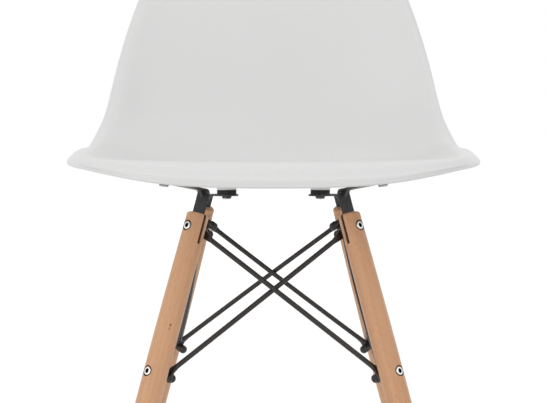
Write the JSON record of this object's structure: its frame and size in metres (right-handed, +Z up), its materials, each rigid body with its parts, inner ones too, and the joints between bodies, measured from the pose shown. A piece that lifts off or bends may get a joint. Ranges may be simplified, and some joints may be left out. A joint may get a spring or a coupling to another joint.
{
  "type": "moulded plastic shell chair",
  "caption": "Side chair with a one-piece moulded plastic seat and back on splayed round beech legs, braced by crossing black steel rods.",
  "frame": {"origin": "on the floor, under the middle of the chair's outline", "axes": "+Z up, -Y towards the front of the seat, +X to the right as the chair is seen from the front"},
  "size_m": [0.4744, 0.5413, 0.824],
  "materials": {
    "shell_plastic": "satin",
    "beech": "satin",
    "black_steel": "satin",
    "bright_steel": "brushed",
    "pad_rubber": "matte",
    "insert_brass": "plain",
    "glide_plastic": "matte"
  },
  "bodies": {
    "root": {"shell": "shell_plastic", "shell_inserts": "insert_brass", "shell_washers": "black_steel", "shell_screws": "bright_steel", "leg_bolts": "bright_steel", "dome_nuts": "black_steel", "glide_nails": "bright_steel", "pad_front_left": "pad_rubber", "bracket_front_left": "black_steel", "leg_front_left": "beech", "glide_front_left": "glide_plastic", "pad_front_right": "pad_rubber", "bracket_front_right": "black_steel", "leg_front_right": "beech", "glide_front_right": "glide_plastic", "pad_rear_right": "pad_rubber", "bracket_rear_right": "black_steel", "leg_rear_right": "beech", "glide_rear_right": "glide_plastic", "pad_rear_left": "pad_rubber", "bracket_rear_left": "black_steel", "leg_rear_left": "beech", "glide_rear_left": "glide_plastic", "strut_front_outer": "black_steel", "strut_front_inner": "black_steel", "strut_right_outer": "black_steel", "strut_right_inner": "black_steel", "strut_rear_outer": "black_steel", "strut_rear_inner": "black_steel", "strut_left_outer": "black_steel", "strut_left_inner": "black_steel"}
  },
  "joints": []
}
